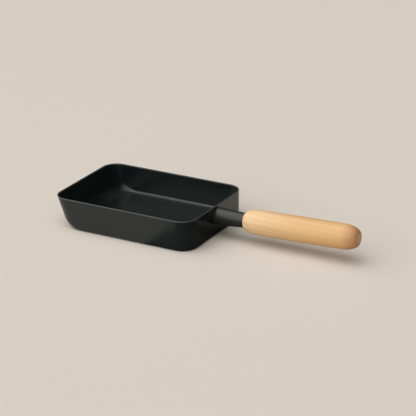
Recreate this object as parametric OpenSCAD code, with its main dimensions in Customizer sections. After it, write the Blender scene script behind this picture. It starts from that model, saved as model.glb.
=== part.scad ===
// Rectangular pan for rolled omelettes, with a turned wooden handle on a through bolt.
// X runs from the sloped end of the pan to the butt of the handle, Y across and Z up.
// The origin lies on the resting plane, under the middle of the rim.

/* [Pan body] */
// Length over the rim, without the handle
rim_length = 195.5; // [175:0.5:230]
// Width over the rim
rim_width = 144; // [120:1:180]
// Height of the rim above the resting plane
pan_height = 39; // [36:0.5:50]
// Thickness of the side walls
wall = 2.2; // [1.8:0.1:3]
// Thickness of the base, from the resting plane to the cooking surface
base_thickness = 3.6; // [3:0.1:5]
// Outside radius of the upright corners
corner_radius = 20; // [15:0.5:28]
// Radius of the outer edge round the base
base_edge_radius = 4.3; // [3:0.1:6]
// Radius of the fillet round the cooking surface
inner_fillet_radius = 4; // [3:0.5:7]
// Lean of the sloped end wall from upright, in degrees
end_slope = 21.8; // [12:0.2:28]
// Outside radius with which the sloped end turns into the base
end_base_radius = 21; // [14:0.5:26]
// Radius on the two edges of the rim
rim_edge_radius = 0.7; // [0.3:0.1:0.8]

/* [Induction sheet] */
// Thickness of the perforated steel sheet let into the base
sheet_thickness = 0.8; // [0.5:0.1:1.2]
// Plain margin between the sheet and the edge of the flat base
sheet_margin = 10; // [6:1:20]
// Diameter of the holes in the sheet
sheet_hole_diameter = 5; // [3:0.5:8]
// Distance from hole to hole
sheet_hole_pitch = 13; // [11:0.5:18]

/* [Boss and insert] */
// Height of the handle's axis at the wall of the pan
axis_height = 24.9; // [23:0.1:26]
// Upward tilt of the handle, in degrees
handle_tilt = 2; // [0:0.1:4]
// How far the boss stands out from the wall
boss_length = 18; // [15:0.5:24]
// Aluminium left round the threaded insert
boss_wall = 2.8; // [2:0.1:3.4]
// Length of the threaded insert
insert_length = 12; // [9:0.5:13]
// Wall of the threaded insert, between its bore and its outside
insert_wall = 1.3; // [1:0.1:1.6]
// Depth left open behind the insert
insert_relief = 1; // [0.5:0.1:1.5]

/* [Neck sleeve] */
// Diameter where the sleeve meets the pan
neck_wall_diameter = 22.4; // [20.5:0.1:24]
// Diameter where the sleeve enters the wood
neck_end_diameter = 18; // [17.2:0.1:20]
// Length in sight between the pan and the wood
neck_length = 39.5; // [34:0.5:50]
// How deep the sleeve sits in the wood
seat_depth = 5; // [3:0.5:8]
// Thickness of the closed end of the sleeve
web_thickness = 7; // [5:0.5:10]

/* [Grip] */
// Length of the wood
grip_length = 150.5; // [130:0.5:170]
// Diameter at the middle of the wood
grip_diameter = 31.6; // [29:0.1:35]
// Loss of diameter from the middle to where the ends begin
grip_belly = 0.8; // [0:0.1:2]
// Length of the rounded end next to the pan
nose_length = 20; // [10:0.5:26]
// Length of the domed butt
butt_length = 21; // [14:0.5:30]
// Flat ring of wood round the sleeve
nose_lip = 0.8; // [0.4:0.1:2]
// Flat ring of wood round the plug
butt_lip = 0.5; // [0.3:0.1:1.5]

/* [Fasteners] */
// Diameter of the long bolt
bolt_diameter = 6; // [5:0.5:7]
// Diameter of the bolt's head
bolt_head_diameter = 10; // [9:0.5:11]
// Height of the bolt's head
bolt_head_height = 6; // [4:0.5:8]
// Width across flats of the key socket in the head
key_width = 5; // [4:0.5:6]
// Depth of the key socket
key_depth = 3; // [2:0.5:3.5]
// Outside diameter of both washers
washer_diameter = 12; // [11.5:0.1:13]
// Thickness of each washer
washer_thickness = 1.6; // [1:0.1:2]
// Width of the split in the spring washer
spring_split = 1.2; // [0.8:0.1:2]
// Diameter of the locating pin
pin_diameter = 3; // [2:0.5:3]
// How deep the locating pin goes into the wood
pin_depth = 8; // [5:0.5:12]
// Thickness of the wooden end plug
plug_thickness = 6; // [4:0.5:9]
// Chamfer round the face of the plug
plug_chamfer = 0.3; // [0.1:0.1:0.6]
// Open space between the bolt's head and the plug
head_room = 5; // [3:0.5:10]

/* [Clearances] */
// Gap all round a pressed or glued piece
press_gap = 0.05; // [0.02:0.01:0.1]
// Gap all round a piece that slides into its seat
slide_gap = 0.15; // [0.1:0.05:0.3]
// Gap all round the bolt where it only passes through
bolt_gap = 0.3; // [0.2:0.05:0.5]
// Gap all round the washers in the counterbore
counterbore_gap = 0.4; // [0.3:0.05:0.6]

/* [Hidden] */
$fn = 64;
// Steps along each rounded stretch of the pan's section, and round each corner
arc_steps = 6;
corner_steps = 12;
// Points along each rounded end of the grip
grip_steps = 14;
// How far a cutter runs past the face that it opens
cut_over = 1;

handle_x = rim_length / 2;
slope_run = tan(end_slope);
end_inner_radius = end_base_radius - wall;
outer_top_x = -rim_length / 2;
inner_top_x = outer_top_x + wall / cos(end_slope);
insert_diameter = bolt_diameter + 2 * insert_wall;
boss_diameter = insert_diameter + 2 * press_gap + 2 * boss_wall;
insert_start = boss_length - insert_length;
seat_end = neck_length + seat_depth;
web_start = seat_end - web_thickness;
grip_end = neck_length + grip_length;
counterbore_diameter = washer_diameter + 2 * counterbore_gap;
washer_seat = grip_end - plug_thickness - head_room - bolt_head_height - 2 * washer_thickness;
head_seat = washer_seat + 2 * washer_thickness;
bolt_tip = insert_start;
pin_offset = (bolt_diameter + neck_end_diameter) / 4;
pin_end = seat_end + pin_depth;

// Drawn along +Z from the wall of the pan, then laid along the handle's axis
module on_axis(from = 0) {
    translate([handle_x, 0, axis_height])
        rotate([0, 90 - handle_tilt, 0])
            translate([0, 0, from])
                children();
}

// The sloped end: a straight leaning wall with an arc that runs into the floor
function lean_x(z, top_x) = top_x + (pan_height - z) * slope_run;
function arc_top(floor_z, radius) = floor_z + radius * (1 - sin(end_slope));
function end_x(z, top_x, floor_z, radius) =
    z >= arc_top(floor_z, radius)
        ? lean_x(z, top_x)
        : lean_x(floor_z + radius, top_x) + radius / cos(end_slope)
            - sqrt(max(0, pow(radius, 2) - pow(floor_z + radius - z, 2)));

// How far an arc of this radius draws in, at a height above the floor it starts from
function draw_in(height, radius) =
    height >= radius ? 0 : radius - sqrt(pow(radius, 2) - pow(radius - height, 2));
function arc_height(step, radius) = radius * (1 - cos(90 * step / arc_steps));

// Corner points of one level section of the pan, counter-clockwise from above
function corner(x, y, radius, start) =
    [for (i = [0:corner_steps])
        let (a = start + 90 * i / corner_steps)
        [x + radius * cos(a), y + radius * sin(a)]];
function section(left, inset, z) =
    let (r = corner_radius - inset,
         right = rim_length / 2 - inset - r,
         side = rim_width / 2 - inset - r)
    [for (p = concat(corner(right, side, r, 0), corner(left + r, side, r, 90),
                     corner(left + r, -side, r, 180), corner(right, -side, r, 270)))
        [p[0], p[1], z]];

// Heights of the sections, up the outside and down the inside
bend_top = max(arc_top(0, end_base_radius), base_edge_radius + cut_over);
outer_levels = concat(
    [for (i = [0:arc_steps]) arc_height(i, base_edge_radius)],
    [for (i = [1:arc_steps]) base_edge_radius + (bend_top - base_edge_radius) * i / arc_steps]);
fillet_top = base_thickness + inner_fillet_radius;
inner_bend_top = max(arc_top(base_thickness, end_inner_radius), fillet_top + cut_over);
inner_levels = concat(
    [for (i = [0:arc_steps]) inner_bend_top + (fillet_top - inner_bend_top) * i / arc_steps],
    [for (i = [arc_steps - 1:-1:0]) base_thickness + arc_height(i, inner_fillet_radius)]);

function outer_section(z) =
    section(end_x(z, outer_top_x, 0, end_base_radius), draw_in(z, base_edge_radius), z);
function inner_section(z) =
    section(end_x(z, inner_top_x, base_thickness, end_inner_radius),
            wall + draw_in(z - base_thickness, inner_fillet_radius), z);
function rim_section(inset, z) =
    section(lean_x(z, outer_top_x + inset / cos(end_slope)), inset, z);

rim_steps = 3;
rim_sections = concat(
    [for (i = [0:rim_steps])
        let (a = 90 * i / rim_steps)
        rim_section(rim_edge_radius * (1 - cos(a)), pan_height - rim_edge_radius * (1 - sin(a)))],
    [for (i = [rim_steps:-1:0])
        let (a = 90 * i / rim_steps)
        rim_section(wall - rim_edge_radius * (1 - cos(a)),
                    pan_height - rim_edge_radius * (1 - sin(a)))]);
pan_sections = concat([for (z = outer_levels) outer_section(z)], rim_sections,
                      [for (z = inner_levels) inner_section(z)]);

// One closed skin through a list of sections that all have the same number of points
module skin(sections) {
    count = len(sections[0]);
    last = len(sections) - 1;
    sides = [for (k = [0:last - 1], i = [0:count - 1])
        let (j = (i + 1) % count, a = k * count, b = a + count)
        each [[a + i, b + i, b + j], [a + i, b + j, a + j]]];
    bottom = [[for (i = [0:count - 1]) i]];
    top = [[for (i = [count - 1:-1:0]) last * count + i]];
    polyhedron(points = [for (s = sections) each s], faces = concat(bottom, sides, top));
}

// Place and outline of the induction sheet on the flat of the base
base_left = end_x(0, outer_top_x, 0, end_base_radius) + sheet_margin;
base_right = rim_length / 2 - base_edge_radius - sheet_margin;
sheet_length = base_right - base_left;
sheet_width = rim_width - 2 * base_edge_radius - 2 * sheet_margin;
sheet_corner = corner_radius - base_edge_radius;

module sheet_outline(gap) {
    w = sheet_width / 2 - sheet_corner;
    union() {
        for (x = [base_left + sheet_corner, base_right - sheet_corner], y = [-w, w])
            translate([x, y])
                circle(r = sheet_corner - gap);
        translate([base_left + gap, -w])
            square([sheet_length - 2 * gap, 2 * w]);
        translate([base_left + sheet_corner, gap - sheet_width / 2])
            square([sheet_length - 2 * sheet_corner, sheet_width - 2 * gap]);
    }
}

hole_columns = floor((sheet_length - sheet_hole_pitch) / sheet_hole_pitch);
hole_rows = floor((sheet_width - sheet_hole_pitch) / sheet_hole_pitch / 2) * 2;
sheet_middle = (base_left + base_right) / 2;

module sheet_holes() {
    for (i = [0:hole_columns - 1], j = [0:hole_rows - 1])
        translate([sheet_middle + (i - (hole_columns - 1) / 2) * sheet_hole_pitch,
                   (j - (hole_rows - 1) / 2) * sheet_hole_pitch])
            circle(d = sheet_hole_diameter);
}

// Radius of the grip at a distance from its end next to the pan
function round_end(t) = sqrt(max(0, 1 - pow(1 - t, 2)));
nose_radius = neck_end_diameter / 2 + slide_gap + nose_lip;
butt_radius = counterbore_diameter / 2 + butt_lip;
function grip_radius(along) =
    let (t = along / grip_length,
         full = (grip_diameter - grip_belly * pow(2 * t - 1, 2)) / 2,
         from_butt = grip_length - along)
    along < nose_length
        ? nose_radius + (full - nose_radius) * round_end(along / nose_length)
        : from_butt < butt_length
            ? butt_radius + (full - butt_radius) * round_end(from_butt / butt_length)
            : full;
straight_length = grip_length - nose_length - butt_length;
grip_stations = concat(
    [for (i = [0:grip_steps]) nose_length * pow(i / grip_steps, 2)],
    [for (i = [1:arc_steps]) nose_length + straight_length * i / arc_steps],
    [for (i = [grip_steps - 1:-1:0]) grip_length - butt_length * pow(i / grip_steps, 2)]);

module grip_blank() {
    rotate_extrude()
        polygon(concat([[0, 0]],
                       [for (s = grip_stations) [grip_radius(s), s]],
                       [[0, grip_length]]));
}

module washer_blank(hole_gap) {
    difference() {
        cylinder(d = washer_diameter, h = washer_thickness);
        translate([0, 0, -cut_over])
            cylinder(d = bolt_diameter + 2 * hole_gap, h = washer_thickness + 2 * cut_over);
    }
}

module pan_body() {
    color([0.20, 0.22, 0.21])
        difference() {
            union() {
                skin(pan_sections);
                on_axis(-wall / 2)
                    cylinder(d = boss_diameter, h = boss_length + wall / 2);
            }
            on_axis(insert_start - insert_relief)
                cylinder(d = insert_diameter + 2 * press_gap,
                         h = insert_length + insert_relief + cut_over);
            translate([0, 0, -cut_over])
                linear_extrude(sheet_thickness + cut_over)
                    sheet_outline(0);
        }
}

module induction_sheet() {
    color([0.72, 0.72, 0.70])
        linear_extrude(sheet_thickness)
            difference() {
                sheet_outline(press_gap);
                sheet_holes();
            }
}

module thread_insert() {
    color([0.62, 0.62, 0.60])
        on_axis(insert_start)
            difference() {
                cylinder(d = insert_diameter, h = insert_length);
                translate([0, 0, -cut_over])
                    cylinder(d = bolt_diameter + 2 * press_gap, h = insert_length + 2 * cut_over);
            }
}

module neck_sleeve() {
    taper = (neck_wall_diameter - neck_end_diameter) / 2 / neck_length;
    start = -cut_over;
    color([0.27, 0.27, 0.26])
        difference() {
            on_axis()
                rotate_extrude()
                    polygon([[0, start],
                             [neck_wall_diameter / 2 - taper * start, start],
                             [neck_end_diameter / 2, neck_length],
                             [neck_end_diameter / 2, seat_end],
                             [0, seat_end]]);
            translate([handle_x - 4 * cut_over, -neck_wall_diameter, 0])
                cube([4 * cut_over, 2 * neck_wall_diameter, pan_height]);
            on_axis(start - cut_over)
                cylinder(d = boss_diameter + 2 * slide_gap, h = web_start - start + cut_over);
            on_axis(web_start - cut_over)
                cylinder(d = bolt_diameter + 2 * bolt_gap, h = web_thickness + 2 * cut_over);
            on_axis(web_start - cut_over)
                translate([pin_offset, 0, 0])
                    cylinder(d = pin_diameter + 2 * press_gap, h = web_thickness + 2 * cut_over);
        }
}

module handle_grip() {
    color([0.90, 0.72, 0.49])
        difference() {
            on_axis(neck_length)
                grip_blank();
            on_axis(neck_length - cut_over)
                cylinder(d = neck_end_diameter + 2 * slide_gap, h = seat_depth + cut_over);
            on_axis(neck_length)
                cylinder(d = bolt_diameter + 2 * bolt_gap, h = grip_length);
            on_axis(washer_seat)
                cylinder(d = counterbore_diameter, h = grip_end - washer_seat + cut_over);
            on_axis(seat_end - cut_over)
                translate([pin_offset, 0, 0])
                    cylinder(d = pin_diameter + 2 * press_gap, h = pin_depth + cut_over);
        }
}

module tie_bolt() {
    shank = head_seat - bolt_tip;
    bolt_end = shank + bolt_head_height;
    color([0.66, 0.66, 0.65])
        on_axis(bolt_tip)
            difference() {
                rotate_extrude()
                    polygon([[0, 0],
                             [bolt_diameter / 2, 0],
                             [bolt_diameter / 2, shank],
                             [bolt_head_diameter / 2, shank],
                             [bolt_head_diameter / 2, bolt_end],
                             [0, bolt_end]]);
                translate([0, 0, bolt_end - key_depth])
                    cylinder(d = key_width / cos(30), h = key_depth + cut_over, $fn = 6);
            }
}

module flat_washer() {
    color([0.70, 0.70, 0.69])
        on_axis(washer_seat)
            washer_blank(slide_gap);
}

module spring_washer() {
    color([0.55, 0.55, 0.54])
        on_axis(washer_seat + washer_thickness)
            difference() {
                washer_blank(press_gap);
                rotate([60, 0, 0])
                    translate([0, -spring_split / 2, -washer_diameter])
                        cube([washer_diameter, spring_split, 2 * washer_diameter]);
            }
}

module end_plug() {
    radius = counterbore_diameter / 2 - press_gap;
    color([0.58, 0.43, 0.30])
        on_axis(grip_end - plug_thickness)
            rotate_extrude()
                polygon([[0, 0],
                         [radius, 0],
                         [radius, plug_thickness - plug_chamfer],
                         [radius - plug_chamfer, plug_thickness],
                         [0, plug_thickness]]);
}

module locating_pin() {
    color([0.66, 0.66, 0.65])
        on_axis(web_start)
            translate([pin_offset, 0, 0])
                cylinder(d = pin_diameter, h = pin_end - web_start);
}

pan_body();
induction_sheet();
thread_insert();
neck_sleeve();
handle_grip();
tie_bolt();
flat_washer();
spring_washer();
end_plug();
locating_pin();
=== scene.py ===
import bpy
import bmesh
import math
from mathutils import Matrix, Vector


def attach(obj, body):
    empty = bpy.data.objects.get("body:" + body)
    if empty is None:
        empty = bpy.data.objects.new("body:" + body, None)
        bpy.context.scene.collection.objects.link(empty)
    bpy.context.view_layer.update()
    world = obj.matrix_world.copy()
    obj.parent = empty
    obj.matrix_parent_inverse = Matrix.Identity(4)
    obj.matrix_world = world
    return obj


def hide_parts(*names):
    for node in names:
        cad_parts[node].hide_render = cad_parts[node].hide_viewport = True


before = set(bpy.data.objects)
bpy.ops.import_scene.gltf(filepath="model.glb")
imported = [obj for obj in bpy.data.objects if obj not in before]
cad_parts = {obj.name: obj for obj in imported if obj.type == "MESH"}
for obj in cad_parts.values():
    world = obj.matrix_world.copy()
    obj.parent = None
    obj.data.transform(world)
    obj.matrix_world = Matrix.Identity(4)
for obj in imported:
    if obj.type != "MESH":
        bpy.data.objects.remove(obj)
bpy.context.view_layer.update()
print("frame loaded,", len(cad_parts), "nodes")

mm = 0.001

# Camera: the photograph's own angle and lens, worked out from the pan's edges.
shot = {
    "place": (1.1571, -1.9757, 0.9121),
    "pitch": 21.363,        # degrees below the level
    "turn": 28.497,         # degrees round from looking along +Y
    "lens": 170.17,
    "sensor": 36.0,
    "farthest": 60.0,
}


def setCamera(look):
    data = bpy.data.cameras.new("shotCamera")
    data.lens = look["lens"]
    data.sensor_width = look["sensor"]
    data.clip_end = look["farthest"]
    camera = bpy.data.objects.new("shotCamera", data)
    camera.location = look["place"]
    camera.rotation_euler = (math.radians(90 - look["pitch"]), 0, math.radians(look["turn"]))
    bpy.context.collection.objects.link(camera)
    bpy.context.scene.camera = camera


setCamera(shot)
bpy.context.scene.view_settings.view_transform = "Standard"
print("camera set")


# Small node helpers, shared by all the finishes.
def newMaterial(name):
    material = bpy.data.materials.new(name)
    material.use_nodes = True
    tree = material.node_tree
    return material, tree, tree.nodes["Principled BSDF"]


def addNode(tree, kind, **settings):
    node = tree.nodes.new(kind)
    for key, value in settings.items():
        setattr(node, key, value)
    return node


def setInputs(node, **values):
    for key, value in values.items():
        node.inputs[key.replace("_", " ")].default_value = value
    return node


def stretched(tree, scale, offset=(0, 0, 0)):
    coords = addNode(tree, "ShaderNodeTexCoord")
    mapping = addNode(tree, "ShaderNodeMapping")
    setInputs(mapping, Scale=scale, Location=offset)
    tree.links.new(coords.outputs["Object"], mapping.inputs["Vector"])
    return mapping.outputs["Vector"]


def noise(tree, vector, scale, detail=3.0, roughness=0.5):
    node = addNode(tree, "ShaderNodeTexNoise")
    setInputs(node, Scale=scale, Detail=detail, Roughness=roughness)
    tree.links.new(vector, node.inputs["Vector"])
    return node.outputs["Fac"]


def growthRings(tree, vector, gap, wander, wanderScale=1.0):
    # At scale 1 the wave node turns through 20 radians per metre
    node = addNode(tree, "ShaderNodeTexWave", wave_type="RINGS", rings_direction="X")
    setInputs(node, Scale=2 * math.pi / 20 / gap, Distortion=wander, Detail=2.0,
              Detail_Scale=wanderScale)
    tree.links.new(vector, node.inputs["Vector"])
    return node.outputs["Fac"]


def ramp(tree, source, stops):
    node = addNode(tree, "ShaderNodeValToRGB")
    band = node.color_ramp
    while len(band.elements) < len(stops):
        band.elements.new(0.5)
    for element, (at, colour) in zip(band.elements, stops):
        element.position = at
        element.color = (*colour, 1.0)
    tree.links.new(source, node.inputs["Fac"])
    return node.outputs["Color"]


def spread(tree, source, low, high, between=(0.0, 1.0), shape="LINEAR"):
    node = addNode(tree, "ShaderNodeMapRange", interpolation_type=shape)
    node.inputs["From Min"].default_value, node.inputs["From Max"].default_value = between
    setInputs(node, To_Min=low, To_Max=high)
    tree.links.new(source, node.inputs["Value"])
    return node.outputs["Result"]


def product(tree, first, second):
    node = addNode(tree, "ShaderNodeMath", operation="MULTIPLY")
    tree.links.new(first, node.inputs[0])
    tree.links.new(second, node.inputs[1])
    return node.outputs[0]


def axisParts(tree, vector):
    parts = addNode(tree, "ShaderNodeSeparateXYZ")
    tree.links.new(vector, parts.inputs["Vector"])
    return parts.outputs["X"], parts.outputs["Y"], parts.outputs["Z"]


def blendColour(tree, mode, amount, first, second):
    node = addNode(tree, "ShaderNodeMix", data_type="RGBA", blend_type=mode)
    sockets = (node.inputs[0], node.inputs[6], node.inputs[7])
    for socket, value in zip(sockets, (amount, first, second)):
        if isinstance(value, bpy.types.NodeSocket):
            tree.links.new(value, socket)
        else:
            socket.default_value = value
    return node.outputs[2]


def bump(tree, shader, height, depth):
    node = addNode(tree, "ShaderNodeBump")
    setInputs(node, Strength=1.0, Distance=depth)
    tree.links.new(height, node.inputs["Height"])
    tree.links.new(node.outputs["Normal"], shader.inputs["Normal"])


# Non-stick coating: dark greenish grey, satin, with a faint sprayed texture and a painted highlight
# along the rim.
coating = {
    "dark": (0.0056, 0.0098, 0.0093),
    "light": (0.0076, 0.0126, 0.0119),
    "rim": (0.050, 0.058, 0.054),       # painted highlight on the rim, standing in for its shine
    "rimHighlightHeights": (0.0378, 0.0386),
    "roughness": (0.18, 0.24),
    "patch": 22.0,          # clouding, features per metre
    "patchDetail": 4.0,
    "grain": 2600.0,        # sprayed texture, features per metre
    "grainDepth": 0.000006,
}

# Neck: die-cast, charcoal enamel, a little lighter and duller than the pan.
enamel = {
    "dark": (0.0170, 0.0190, 0.0180),
    "light": (0.0225, 0.0250, 0.0240),
    "roughness": (0.34, 0.42),
    "patch": 60.0,
    "patchDetail": 3.0,
    "grain": 1900.0,
    "grainDepth": 0.00001,
}


def paintFinish(name, look):
    material, tree, shader = newMaterial(name)
    here = stretched(tree, (1, 1, 1))
    patches = noise(tree, here, look["patch"], look["patchDetail"])
    fine = noise(tree, here, look["grain"], 2.0)
    colour = ramp(tree, patches, [(0.3, look["dark"]), (0.7, look["light"])])
    # Painted highlight: the band of heights at the rim gets a lighter colour
    if "rim" in look:
        height = axisParts(tree, here)[2]
        rimHighlight = spread(tree, height, 0.0, 1.0, look["rimHighlightHeights"], "SMOOTHSTEP")
        colour = blendColour(tree, "MIX", rimHighlight, colour, (*look["rim"], 1))
    tree.links.new(colour, shader.inputs["Base Color"])
    tree.links.new(spread(tree, patches, *look["roughness"]), shader.inputs["Roughness"])
    bump(tree, shader, fine, look["grainDepth"])
    return material


# Maple: growth rings seen along the grain, fine fibres, short dark flecks and painted shade on the
# butt.
# The stretches say how many features fit in a metre along X, Y and Z.
maple = {
    "pale": (0.750, 0.475, 0.222),
    "warm": (0.670, 0.390, 0.160),
    "broadStretch": (8, 60, 60),
    "neckEnd": (0.800, 0.590, 0.345),   # paler towards the pan
    "neckEndReach": (0.225, 0.137),     # where the paler wood fades out and where it is full
    "neckEndAmount": 0.8,
    "buttShade": (0.500, 0.250, 0.103),   # painted shade: the butt's rounding faces away from the light
    "buttShadeReach": (0.268, 0.2865),
    "buttShadeAmount": 0.9,
    "ring": (0.560, 0.300, 0.115),
    "ringAmount": 0.16,
    "ringGap": 0.0062,                  # metres between growth rings
    "ringStretch": (0.10, 1, 1),        # rings run lengthwise, with the slow waves of a plank
    "ringWander": 4.6,
    "ringWanderScale": 0.25,
    "heart": (0.0, 0.030, 0.034),       # how far the tree's heart lies from the axis
    "fibre": (0.84, 0.80, 0.74),
    "fibreAmount": 0.45,
    "fibreStretch": (30, 1100, 1100),
    "fibreDepth": 0.00002,
    "fleck": (0.400, 0.215, 0.095),
    "fleckAmount": 0.25,
    "fleckStretch": (170, 2600, 2600),
    "roughness": (0.42, 0.52),
}


def mapleFinish(look):
    material, tree, shader = newMaterial("mapleWood")
    along = stretched(tree, look["ringStretch"], look["heart"])
    rings = growthRings(tree, along, look["ringGap"], look["ringWander"], look["ringWanderScale"])
    broad = noise(tree, stretched(tree, look["broadStretch"]), 1.0, 3.0)
    fibres = noise(tree, stretched(tree, look["fibreStretch"]), 1.0, 4.0, 0.6)
    flecks = noise(tree, stretched(tree, look["fleckStretch"]), 1.0, 2.0)
    length = axisParts(tree, stretched(tree, (1, 1, 1)))[0]
    # Broad tones first, then the paler end towards the pan and the painted shade over the butt
    colour = ramp(tree, broad, [(0.30, look["warm"]), (0.72, look["pale"])])
    for end in ("neckEnd", "buttShade"):
        near = spread(tree, length, 0.0, look[end + "Amount"], look[end + "Reach"], "SMOOTHSTEP")
        colour = blendColour(tree, "MIX", near, colour, (*look[end], 1))
    ringMask = spread(tree, rings, 0.0, look["ringAmount"])
    colour = blendColour(tree, "MIX", ringMask, colour, (*look["ring"], 1))
    lines = ramp(tree, fibres, [(0.30, look["fibre"]), (0.62, (1, 1, 1))])
    colour = blendColour(tree, "MULTIPLY", look["fibreAmount"], colour, lines)
    dots = ramp(tree, flecks, [(0.66, (0, 0, 0)), (0.76, (1, 1, 1))])
    fleckMask = spread(tree, dots, 0.0, look["fleckAmount"])
    colour = blendColour(tree, "MIX", fleckMask, colour, (*look["fleck"], 1))
    tree.links.new(colour, shader.inputs["Base Color"])
    tree.links.new(spread(tree, fibres, *look["roughness"]), shader.inputs["Roughness"])
    bump(tree, shader, fibres, look["fibreDepth"])
    return material


# Plug: end grain, with its own small rings and open pores.
plugWood = {
    "pale": (0.80, 0.47, 0.255),
    "dark": (0.60, 0.350, 0.188),
    "ringGap": 0.0016,
    "ringWander": 1.5,
    "heart": (0.0, 0.004, -0.030),
    "pore": (0.55, 0.5, 0.45),
    "poreAmount": 0.8,
    "poreScale": 2400.0,    # features per metre
    "poreDepth": 0.00004,
    "roughness": (0.5, 0.6),
}


def plugFinish(look):
    material, tree, shader = newMaterial("plugEndGrain")
    here = stretched(tree, (1, 1, 1), look["heart"])
    rings = growthRings(tree, here, look["ringGap"], look["ringWander"])
    pores = noise(tree, stretched(tree, (1, 1, 1)), look["poreScale"], 2.0)
    ringed = ramp(tree, rings, [(0.1, look["dark"]), (0.9, look["pale"])])
    holes = ramp(tree, pores, [(0.34, look["pore"]), (0.5, (1, 1, 1))])
    colour = blendColour(tree, "MULTIPLY", look["poreAmount"], ringed, holes)
    tree.links.new(colour, shader.inputs["Base Color"])
    tree.links.new(spread(tree, pores, *look["roughness"]), shader.inputs["Roughness"])
    bump(tree, shader, pores, look["poreDepth"])
    return material


# Steel: brushed lengthwise on the sheet, plainer on the small parts.
steels = {
    "sheetSteel": {
        "colour": (0.50, 0.50, 0.485),
        "roughness": (0.28, 0.42),
        "stretch": (12, 2200, 2200),
    },
    "boltSteel": {
        "colour": (0.52, 0.52, 0.50),
        "roughness": (0.24, 0.36),
        "stretch": (900, 900, 900),
    },
    "springSteel": {
        "colour": (0.34, 0.34, 0.33),
        "roughness": (0.34, 0.46),
        "stretch": (700, 1400, 1400),
    },
}
steelLines = {"dulled": 0.8, "depth": 0.000008}


def steelFinish(name):
    look = steels[name]
    material, tree, shader = newMaterial(name)
    shader.inputs["Metallic"].default_value = 1.0
    lines = noise(tree, stretched(tree, look["stretch"]), 1.0, 3.0)
    dull = tuple(steelLines["dulled"] * c for c in look["colour"])
    colour = ramp(tree, lines, [(0.3, dull), (0.7, look["colour"])])
    tree.links.new(colour, shader.inputs["Base Color"])
    tree.links.new(spread(tree, lines, *look["roughness"]), shader.inputs["Roughness"])
    bump(tree, shader, lines, steelLines["depth"])
    return material


coatingMaterial = paintFinish("nonStickCoating", coating)
enamelMaterial = paintFinish("neckEnamel", enamel)
mapleMaterial = mapleFinish(maple)
plugMaterial = plugFinish(plugWood)
steelMaterials = {name: steelFinish(name) for name in steels}
print("finishes made")


# Mesh helpers: a closed skin through rings of points, with its hard edges marked.
def skinPiece(name, rings, material, closed=False, hardAngle=40.0):
    mesh = bpy.data.meshes.new(name)
    bm = bmesh.new()
    rows = [[bm.verts.new(point) for point in ring] for ring in rings]
    count = len(rows[0])
    pairs = list(zip(rows, rows[1:]))
    if closed:
        pairs.append((rows[-1], rows[0]))
    for low, high in pairs:
        for i in range(count):
            j = (i + 1) % count
            bm.faces.new((low[i], low[j], high[j], high[i]))
    if not closed:
        bm.faces.new(list(reversed(rows[0])))
        bm.faces.new(rows[-1])
    bmesh.ops.recalc_face_normals(bm, faces=bm.faces)
    limit = math.radians(hardAngle)
    for face in bm.faces:
        face.smooth = True
    for edge in bm.edges:
        edge.smooth = edge.calc_face_angle(0.0) < limit
    bm.to_mesh(mesh)
    bm.free()
    mesh.materials.append(material)
    piece = bpy.data.objects.new(name, mesh)
    bpy.context.collection.objects.link(piece)
    return piece


def evenShading(piece):
    modifier = piece.modifiers.new("evenShading", "WEIGHTED_NORMAL")
    modifier.keep_sharp = True


# Pan: level sections stacked from the base, over the rim and down the inside.
pan = {
    "length": 195.5 * mm,
    "width": 144 * mm,
    "height": 39 * mm,
    "wall": 2.2 * mm,
    "base": 3.6 * mm,
    "corner": 20 * mm,
    "baseEdge": 4.3 * mm,
    "fillet": 4 * mm,
    "slope": math.radians(21.8),
    "endRadius": 21 * mm,
    "rimEdge": 0.7 * mm,
    "pocketMargin": 10 * mm,
    "pocketDepth": 0.8 * mm,
    "cornerSteps": 24,
    "arcSteps": 12,
    "rimSteps": 3,
    "wallSteps": 3,
    "innerBendSteps": 6,
}


def leanX(look, z, topX):
    return topX + (look["height"] - z) * math.tan(look["slope"])


def arcTop(look, floorZ, radius):
    return floorZ + radius * (1 - math.sin(look["slope"]))


def endX(look, z, topX, floorZ, radius):
    if z >= arcTop(look, floorZ, radius):
        return leanX(look, z, topX)
    middle = leanX(look, floorZ + radius, topX) + radius / math.cos(look["slope"])
    return middle - math.sqrt(max(0.0, radius ** 2 - (floorZ + radius - z) ** 2))


def drawIn(height, radius):
    if height >= radius:
        return 0.0
    return radius - math.sqrt(max(0.0, radius ** 2 - (radius - height) ** 2))


def levelSection(look, left, right, side, radius, z):
    steps = look["cornerSteps"]
    centres = ((right - radius, side - radius), (left + radius, side - radius),
               (left + radius, radius - side), (right - radius, radius - side))
    points = []
    for quarter, (x, y) in enumerate(centres):
        for i in range(steps + 1):
            angle = math.radians(90 * (quarter + i / steps))
            points.append((x + radius * math.cos(angle), y + radius * math.sin(angle), z))
    return points


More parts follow.
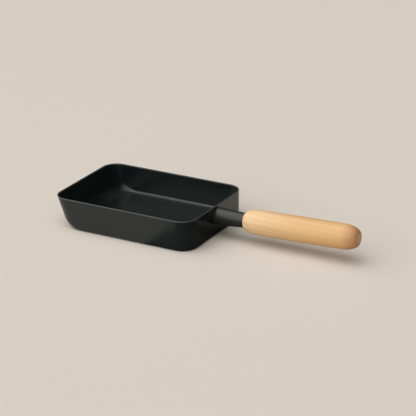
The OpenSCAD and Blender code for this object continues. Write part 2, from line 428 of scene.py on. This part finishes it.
def panSections(look):
    half, side, top = look["length"] / 2, look["width"] / 2, look["height"]
    wall, edge, base = look["wall"], look["rimEdge"], look["base"]
    baseEdge, corner = look["baseEdge"], look["corner"]
    steps, bendSteps, wallSteps = look["arcSteps"], look["innerBendSteps"], look["wallSteps"]
    outerTop = -half
    innerTop = outerTop + wall / math.cos(look["slope"])
    innerRadius = look["endRadius"] - wall

    def section(left, inset, z):
        return levelSection(look, left, half - inset, side - inset, corner - inset, z)

    def outer(z):
        left = endX(look, z, outerTop, 0.0, look["endRadius"])
        return section(left, drawIn(z, baseEdge), z)

    def inner(z):
        left = endX(look, z, innerTop, base, innerRadius)
        return section(left, wall + drawIn(z - base, look["fillet"]), z)

    def rim(inset, z):
        return section(leanX(look, z, outerTop + inset / math.cos(look["slope"])), inset, z)

    # Pocket for the sheet, in the flat of the base
    margin = look["pocketMargin"]
    pocketLeft = endX(look, 0.0, outerTop, 0.0, look["endRadius"]) + margin
    rings = [levelSection(look, pocketLeft, half - baseEdge - margin, side - baseEdge - margin,
                          corner - baseEdge, z) for z in (look["pocketDepth"], 0.0)]
    # Up the outside
    arc = [1 - math.cos(math.radians(90 * i / steps)) for i in range(steps + 1)]
    bendTop = arcTop(look, 0.0, look["endRadius"])
    rings += [outer(baseEdge * a) for a in arc]
    rings += [outer(baseEdge + (bendTop - baseEdge) * i / steps) for i in range(1, steps + 1)]
    rings += [outer(bendTop + (top - edge - bendTop) * i / wallSteps) for i in range(1, wallSteps)]
    # Over the rim, as an inset from the outside and a drop from the top
    turn = [math.radians(90 * i / look["rimSteps"]) for i in range(look["rimSteps"] + 1)]
    rounding = [(edge * (1 - math.cos(a)), edge * (1 - math.sin(a))) for a in turn]
    rings += [rim(inset, top - drop) for inset, drop in rounding]
    rings += [rim(wall - inset, top - drop) for inset, drop in reversed(rounding)]
    # Down the inside, to the cooking surface
    innerBend = arcTop(look, base, innerRadius)
    rings += [inner(innerBend + (top - edge - innerBend) * i / wallSteps)
              for i in range(wallSteps - 1, 0, -1)]
    filletTop = base + look["fillet"]
    rings += [inner(innerBend + (filletTop - innerBend) * i / bendSteps)
              for i in range(bendSteps + 1)]
    rings += [inner(base + look["fillet"] * a) for a in reversed(arc[:-1])]
    return rings


# The handle's axis leaves the end wall of the pan at this height and tilt.
axis = {"height": 24.9 * mm, "tilt": math.radians(2.0)}


def onAxis(along, radius, angle):
    tilt = axis["tilt"]
    across, up = radius * math.cos(angle), radius * math.sin(angle)
    return Vector((pan["length"] / 2 + along * math.cos(tilt) - up * math.sin(tilt),
                   across,
                   axis["height"] + along * math.sin(tilt) + up * math.cos(tilt)))


def ringAbout(along, radius, steps):
    return [onAxis(along, radius, 2 * math.pi * i / steps) for i in range(steps)]


def wallRing(radius, steps):
    # Points where the sleeve meets the upright end wall
    angles = [2 * math.pi * i / steps for i in range(steps)]
    return [onAxis(radius * math.sin(a) * math.tan(axis["tilt"]), radius, a) for a in angles]


# Boss: a tube on the end wall, hidden in the neck, that holds the threaded insert.
boss = {"length": 18 * mm, "radius": 7.15 * mm, "hole": 4.35 * mm, "sunk": 0.2 * mm, "steps": 64}


def buildPan(look, tube):
    body = skinPiece("panShell", panSections(look), coatingMaterial)
    evenShading(body)
    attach(body, "root")
    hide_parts("pan_body")
    profile = [(-tube["sunk"], tube["hole"]), (-tube["sunk"], tube["radius"]),
               (tube["length"], tube["radius"]), (tube["length"], tube["hole"])]
    rings = [ringAbout(s, r, tube["steps"]) for s, r in profile]
    stub = skinPiece("handleBoss", rings, coatingMaterial, closed=True)
    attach(stub, "root")


buildPan(pan, boss)
print("pan made")

# Neck sleeve: a cone from the pan to the wood, bored for the boss, closed by a web.
neck = {
    "wallRadius": 11.2 * mm,
    "endRadius": 9.0 * mm,
    "length": 39.5 * mm,
    "seat": 5 * mm,
    "web": 7 * mm,
    "bore": 7.3 * mm,
    "boltHole": 3.3 * mm,
    "edge": 0.35 * mm,
    "edgeSteps": 3,
    "coneSteps": 12,
    "steps": 96,
}


def buildNeck(look):
    steps, edge, wallRadius = look["steps"], look["edge"], look["wallRadius"]
    seatEnd = look["length"] + look["seat"]
    webStart = seatEnd - look["web"]
    taper = (wallRadius - look["endRadius"]) / look["length"]
    rings = [wallRing(look["bore"], steps), wallRing(wallRadius - edge, steps)]
    for i in range(1, look["edgeSteps"] + 1):
        angle = math.radians(90 * i / look["edgeSteps"])
        inset = edge * (1 - math.sin(angle))
        away = Vector((edge * (1 - math.cos(angle)), 0, 0))
        rings.append([point + away for point in wallRing(wallRadius - inset, steps)])
    for i in range(1, look["coneSteps"] + 1):
        along = look["length"] * i / look["coneSteps"]
        rings.append(ringAbout(along, wallRadius - taper * along, steps))
    inside = [(seatEnd, look["endRadius"]), (seatEnd, look["boltHole"]),
              (webStart, look["boltHole"]), (webStart, look["bore"])]
    rings += [ringAbout(s, r, steps) for s, r in inside]
    piece = skinPiece("neckSleeve", rings, enamelMaterial, closed=True)
    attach(piece, "root")
    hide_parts("neck_sleeve")


buildNeck(neck)
print("neck made")

# Grip: turned between centres, rounded at the neck and domed at the butt.
grip = {
    "start": 39.5 * mm,
    "length": 150.5 * mm,
    "radius": 15.78 * mm,
    "belly": 0.4 * mm,
    "nose": 20 * mm,
    "butt": 21 * mm,
    "noseFace": 9.95 * mm,
    "buttFace": 6.9 * mm,
    "socket": 9.15 * mm,
    "socketDepth": 5 * mm,
    "bore": 3.3 * mm,
    "counterbore": 6.4 * mm,
    "counterboreDepth": 20.2 * mm,
    "endSteps": 40,
    "middleSteps": 20,
    "steps": 128,
    "hardAngle": 50.0,
}


def gripRadius(look, along):
    full = look["radius"] - look["belly"] * (2 * along / look["length"] - 1) ** 2
    fromButt = look["length"] - along
    if along < look["nose"]:
        rise = math.sqrt(max(0.0, 1 - (1 - along / look["nose"]) ** 2))
        return look["noseFace"] + (full - look["noseFace"]) * rise
    if fromButt < look["butt"]:
        rise = math.sqrt(max(0.0, 1 - (1 - fromButt / look["butt"]) ** 2))
        return look["buttFace"] + (full - look["buttFace"]) * rise
    return full


def buildGrip(look):
    fine, middle, end = look["endSteps"], look["middleSteps"], look["length"]
    # Stations close up towards both ends, where the radius changes fast
    straight = end - look["nose"] - look["butt"]
    stations = [look["nose"] * (i / fine) ** 2 for i in range(fine + 1)]
    stations += [look["nose"] + straight * i / middle for i in range(1, middle + 1)]
    stations += [end - look["butt"] * (i / fine) ** 2 for i in range(fine - 1, -1, -1)]
    profile = [(s, gripRadius(look, s)) for s in stations]
    seat = end - look["counterboreDepth"]
    profile += [(end, look["counterbore"]), (seat, look["counterbore"]), (seat, look["bore"]),
                (look["socketDepth"], look["bore"]), (look["socketDepth"], look["socket"]),
                (0.0, look["socket"])]
    rings = [ringAbout(look["start"] + s, r, look["steps"]) for s, r in profile]
    piece = skinPiece("mapleGrip", rings, mapleMaterial, closed=True, hardAngle=look["hardAngle"])
    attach(piece, "root")
    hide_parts("handle_grip")


buildGrip(grip)
print("grip made")

# Plug: a flush disc of end grain in the flat of the butt, its edge eased in two steps.
plug = {
    "radius": 6.35 * mm,
    "thickness": 6 * mm,
    "chamfer": 0.3 * mm,
    "easing": (0.25, 0.4),      # depth and inset of the middle of the edge, as parts of the chamfer
    "faceRing": 0.5,            # radius of the face's inner ring, as part of the disc's
    "steps": 96,
}


def buildPlug(look):
    end = grip["start"] + grip["length"]
    radius, chamfer = look["radius"], look["chamfer"]
    depth, inset = look["easing"]
    profile = [(end - look["thickness"], radius), (end - chamfer, radius),
               (end - depth * chamfer, radius - inset * chamfer),
               (end, radius - chamfer), (end, look["faceRing"] * radius)]
    rings = [ringAbout(s, r, look["steps"]) for s, r in profile]
    piece = skinPiece("buttPlug", rings, plugMaterial)
    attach(piece, "root")
    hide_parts("end_plug")


buildPlug(plug)
print("plug made")

# The sheet under the base and the fasteners keep their own shapes.
nodeFinishes = {
    "induction_sheet": "sheetSteel",
    "thread_insert": "boltSteel",
    "tie_bolt": "boltSteel",
    "flat_washer": "boltSteel",
    "locating_pin": "boltSteel",
    "spring_washer": "springSteel",
}


def dressNodes(finishes):
    for name, finish in finishes.items():
        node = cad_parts[name]
        node.data.materials.clear()
        node.data.materials.append(steelMaterials[finish])


dressNodes(nodeFinishes)
print("steel parts dressed")

# Stage: one plain pale floor under a broad soft light, high up at the front left.
stage = {
    "floorColour": (0.680, 0.624, 0.565),
    "floorSize": 14.0,
    "floorRoughness": 0.9,
    "floorSpecular": 0.1,
    "shadeAlong": (0.026, 0.044),           # reflections darken over this stretch of X
    "shadeAcross": (0.060, 0.015),          # and over this stretch of Y
    "shadeDepth": 0.85,
    "glowToward": (-0.40, -0.52, 0.755),    # middle of the bright part of the sky
    "glowSpan": (0.22, 0.86),               # cosines from that middle: dark, fully bright
    "skyGlow": 1.78,
    "skyDark": 0.012,
    "skyTint": (1.0, 0.985, 0.965, 1),
    "keyEnergy": 6.0,
    "keySize": 1.6,
    "keyPlace": (-0.7, -0.3, 2.6),
    "keyTint": (1.0, 0.985, 0.96),
}


def floorFinish(look):
    material, tree, shader = newMaterial("paperFloor")
    # Reflections in the pan see a darker floor towards the front right
    x, y = axisParts(tree, stretched(tree, (1, 1, 1)))[:2]
    along = spread(tree, x, 0.0, look["shadeDepth"], look["shadeAlong"], "SMOOTHSTEP")
    across = spread(tree, y, 0.0, 1.0, look["shadeAcross"], "SMOOTHSTEP")
    mirrored = addNode(tree, "ShaderNodeLightPath").outputs["Is Glossy Ray"]
    shade = product(tree, product(tree, along, across), mirrored)
    colour = blendColour(tree, "MIX", shade, (*look["floorColour"], 1), (0, 0, 0, 1))
    tree.links.new(colour, shader.inputs["Base Color"])
    shader.inputs["Roughness"].default_value = look["floorRoughness"]
    shader.inputs["Specular IOR Level"].default_value = look["floorSpecular"]
    return material


def buildFloor(look):
    mesh = bpy.data.meshes.new("paleFloor")
    bm = bmesh.new()
    bmesh.ops.create_grid(bm, x_segments=8, y_segments=8, size=look["floorSize"] / 2)
    bm.to_mesh(mesh)
    bm.free()
    mesh.materials.append(floorFinish(look))
    floor = bpy.data.objects.new("paleFloor", mesh)
    bpy.context.collection.objects.link(floor)


def buildSky(look):
    world = bpy.data.worlds.new("studioSky")
    bpy.context.scene.world = world
    world.use_nodes = True
    tree = world.node_tree
    background = tree.nodes["Background"]
    coords = addNode(tree, "ShaderNodeTexCoord")
    nearness = addNode(tree, "ShaderNodeVectorMath", operation="DOT_PRODUCT")
    tree.links.new(coords.outputs["Generated"], nearness.inputs[0])
    nearness.inputs[1].default_value = look["glowToward"]
    strength = spread(tree, nearness.outputs["Value"], look["skyDark"], look["skyGlow"],
                      look["glowSpan"], "SMOOTHSTEP")
    background.inputs["Color"].default_value = look["skyTint"]
    tree.links.new(strength, background.inputs["Strength"])
    # Seen directly, the sky has the floor's own colour
    plain = addNode(tree, "ShaderNodeBackground")
    plain.inputs["Color"].default_value = (*look["floorColour"], 1)
    rays = addNode(tree, "ShaderNodeLightPath")
    pick = addNode(tree, "ShaderNodeMixShader")
    tree.links.new(rays.outputs["Is Camera Ray"], pick.inputs["Fac"])
    tree.links.new(background.outputs[0], pick.inputs[1])
    tree.links.new(plain.outputs[0], pick.inputs[2])
    tree.links.new(pick.outputs[0], tree.nodes["World Output"].inputs["Surface"])


def buildKey(look):
    data = bpy.data.lights.new("keyLight", "AREA")
    data.energy = look["keyEnergy"]
    data.size = look["keySize"]
    data.color = look["keyTint"]
    lamp = bpy.data.objects.new("keyLight", data)
    lamp.location = look["keyPlace"]
    lamp.rotation_euler = (-Vector(look["keyPlace"])).to_track_quat("-Z", "Y").to_euler()
    bpy.context.collection.objects.link(lamp)


buildFloor(stage)
buildSky(stage)
buildKey(stage)
print("stage and light made")
